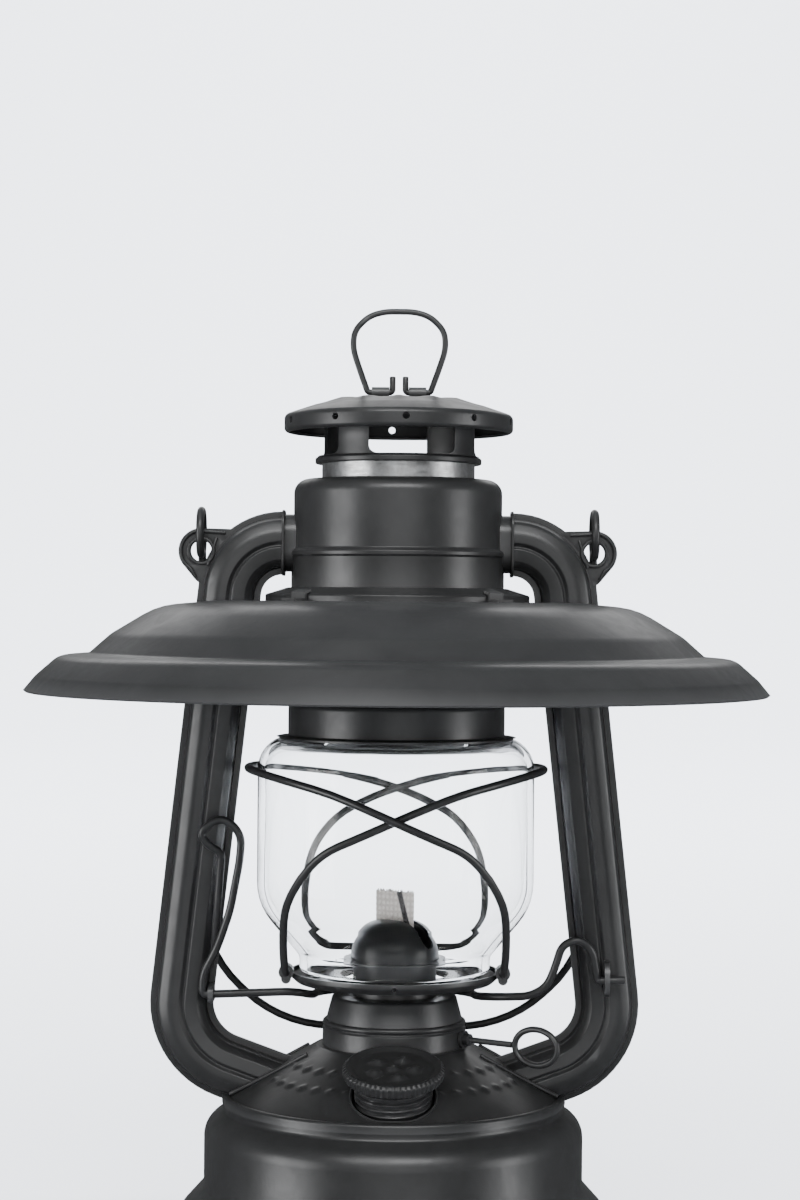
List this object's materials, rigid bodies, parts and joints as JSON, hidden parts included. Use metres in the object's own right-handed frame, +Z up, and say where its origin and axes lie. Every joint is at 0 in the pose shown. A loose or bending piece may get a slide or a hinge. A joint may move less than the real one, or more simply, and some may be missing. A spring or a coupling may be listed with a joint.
{
  "type": "barn lantern",
  "caption": "Small tubular kerosene lantern with a wide reflector shade, glass globe in a wire guard, carrying bail, lift lever and screw filler cap.",
  "frame": {"origin": "middle of the ring that the tank stands on, at ground level", "axes": "+Z up through the burner and chimney, +X to the right seen from the filler cap side, +Y away to the back"},
  "size_m": [0.2298, 0.2298, 0.2927],
  "materials": {
    "painted_steel": "semi-matt charcoal",
    "galvanised": "dull zinc",
    "clear_glass": "clear",
    "wick_cotton": "woven cotton",
    "gasket_rubber": "matt",
    "spring_wire": "drawn wire"
  },
  "bodies": {
    "lantern": {"tank_shell": "painted_steel", "tank_bottom": "painted_steel", "tank_top": "painted_steel", "filler_neck": "painted_steel", "burner_collar": "painted_steel", "burner_cone": "painted_steel", "burner_basket": "painted_steel", "flame_dome": "painted_steel", "wick_tube": "galvanised", "spindle_bush": "painted_steel", "right_tube_front": "painted_steel", "right_tube_rear": "painted_steel", "left_tube_front": "painted_steel", "left_tube_rear": "painted_steel", "right_tube_collar": "painted_steel", "left_tube_collar": "painted_steel", "air_chamber": "painted_steel", "chamber_base": "painted_steel", "chimney_guide": "galvanised", "chimney_spring": "spring_wire", "lever_lug_right": "painted_steel", "lever_lug_left": "painted_steel"},
    "globe_carriage": {"globe_plate": "painted_steel", "globe": "clear_glass", "guard_wire": "painted_steel", "guard_lugs": "painted_steel", "guard_clip": "painted_steel"},
    "hood_unit": {"hood": "painted_steel", "inner_chimney": "galvanised", "spring_seat": "galvanised", "vent_gallery": "painted_steel", "vent_cap": "painted_steel", "ring_bracket": "painted_steel"},
    "top_ring": {"top_ring": "painted_steel"},
    "lever": {"lift_lever": "painted_steel"},
    "bail": {"bail": "painted_steel"},
    "shade": {"reflector_shade": "painted_steel", "shade_clips": "painted_steel"},
    "wick": {"wick": "wick_cotton"},
    "knob": {"wick_spindle": "painted_steel", "wick_wheels": "galvanised", "wick_knob": "painted_steel"},
    "cap_gasket": {"filler_gasket": "gasket_rubber"},
    "filler_cap": {"filler_cap": "painted_steel"}
  },
  "joints": [
    {"name": "globe_lift", "type": "slide", "parent": "lantern", "child": "globe_carriage", "axis": [0, 0, 1], "range_m": [0, 0.008]},
    {"name": "lever_swing", "type": "hinge", "parent": "lantern", "child": "lever", "pos_m": [-0.057, -0.0084, 0.0806], "axis": [0.9984, -0.0327, 0.0466], "range_deg": [0, 19.55]},
    {"name": "hood_lift", "type": "slide", "parent": "globe_carriage", "child": "hood_unit", "axis": [0, 0, 1], "range_m": [0, 0.008], "stiffness_N_per_m": 60, "springref_m": -0.01, "deforming": ["chimney_spring"]},
    {"name": "ring_swing", "type": "hinge", "parent": "hood_unit", "child": "top_ring", "pos_m": [0, 0, 0.2666], "axis": [1, 0, 0], "range_deg": [-80, 80]},
    {"name": "bail_swing", "type": "hinge", "parent": "lantern", "child": "bail", "pos_m": [0, 0, 0.2227], "axis": [1, 0, 0], "range_deg": [0, 10]},
    {"name": "shade_lift", "type": "slide", "parent": "lantern", "child": "shade", "axis": [0, 0, 1], "range_m": [0, 0.125]},
    {"name": "knob_turn", "type": "hinge", "parent": "lantern", "child": "knob", "pos_m": [0.00218, 0.00335, 0.0675], "axis": [0.8387, -0.5446, 0], "range_deg": [-150, 150]},
    {"name": "wick_feed", "type": "slide", "parent": "lantern", "child": "wick", "axis": [0, 0, 1], "range_m": [-0.00785, 0.00785]},
    {"name": "cap_rise", "type": "slide", "parent": "lantern", "child": "cap_gasket", "axis": [0, -0.2588, 0.9659], "range_m": [0, 0.00571]},
    {"name": "cap_turn", "type": "hinge", "parent": "cap_gasket", "child": "filler_cap", "pos_m": [0, -0.0378, 0.0526], "axis": [0, -0.2588, 0.9659], "range_deg": [0, 1080]}
  ],
  "couplings": [
    {"joint": "lever_swing", "follows": "globe_lift", "rad_per_m": 42.542},
    {"joint": "knob_turn", "follows": "wick_feed", "rad_per_m": 333.33},
    {"joint": "cap_rise", "follows": "cap_turn", "m_per_rad": 0.00030239}
  ]
}
